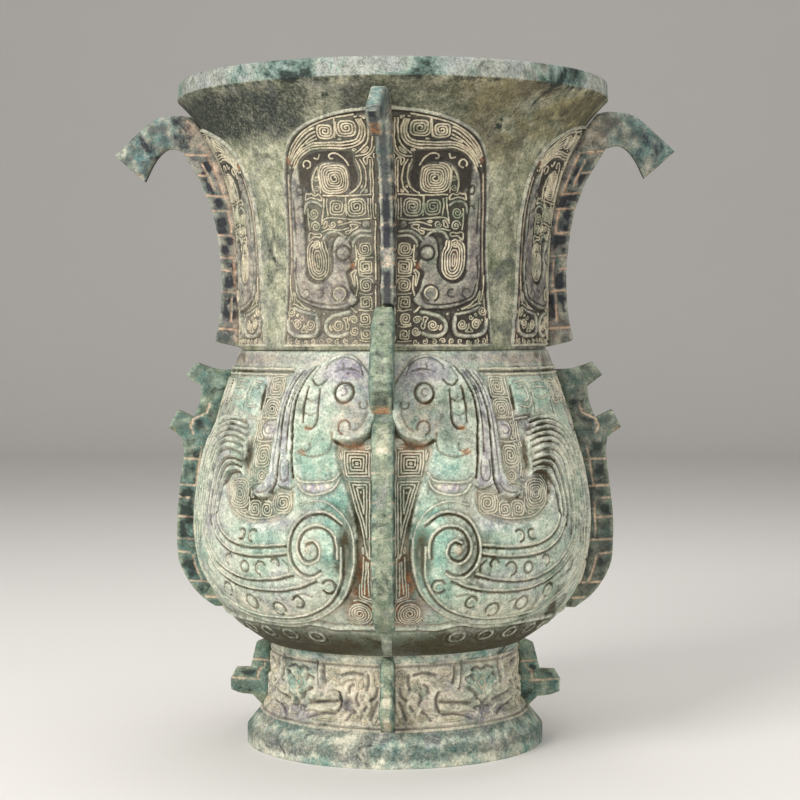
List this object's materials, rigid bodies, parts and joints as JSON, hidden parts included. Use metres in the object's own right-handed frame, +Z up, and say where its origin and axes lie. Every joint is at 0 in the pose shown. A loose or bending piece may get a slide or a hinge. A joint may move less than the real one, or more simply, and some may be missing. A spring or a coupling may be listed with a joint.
{
  "type": "ritual wine vessel",
  "caption": "Bronze ritual wine vessel with a flared round mouth, swelling belly and ring foot, set with hooked flanges and relief birds.",
  "frame": {"origin": "centre of the foot's resting face", "axes": "+Z up along the vessel's axis, -Y to the front flange, +X to the right flange"},
  "size_m": [0.2054, 0.2054, 0.24],
  "materials": {
    "neck_patina": "matt green patina over cast bronze",
    "belly_patina": "matt green patina over cast bronze",
    "inside_bronze": "matt green patina over cast bronze",
    "foot_patina": "matt green patina over cast bronze",
    "flange_patina": "matt green patina over cast bronze",
    "leaf_patina": "matt green patina over cast bronze",
    "bird_patina": "matt green patina over cast bronze",
    "frieze_patina": "matt green patina over cast bronze"
  },
  "bodies": {
    "root": {"neck_wall": "neck_patina", "belly_wall": "belly_patina", "vessel_floor": "inside_bronze", "foot_ring": "foot_patina", "neck_flange_front": "flange_patina", "neck_flange_right": "flange_patina", "neck_flange_back": "flange_patina", "neck_flange_left": "flange_patina", "belly_flange_front": "flange_patina", "belly_flange_right": "flange_patina", "belly_flange_back": "flange_patina", "belly_flange_left": "flange_patina", "foot_flange_front": "flange_patina", "foot_flange_right": "flange_patina", "foot_flange_back": "flange_patina", "foot_flange_left": "flange_patina", "neck_leaf_front_right": "leaf_patina", "neck_leaf_right_front": "leaf_patina", "neck_leaf_right_back": "leaf_patina", "neck_leaf_back_right": "leaf_patina", "neck_leaf_back_left": "leaf_patina", "neck_leaf_left_back": "leaf_patina", "neck_leaf_left_front": "leaf_patina", "neck_leaf_front_left": "leaf_patina", "belly_bird_front_right": "bird_patina", "belly_bird_back_right": "bird_patina", "belly_bird_back_left": "bird_patina", "belly_bird_front_left": "bird_patina", "foot_frieze_front_right": "frieze_patina", "foot_frieze_back_right": "frieze_patina", "foot_frieze_back_left": "frieze_patina", "foot_frieze_front_left": "frieze_patina"}
  },
  "joints": []
}
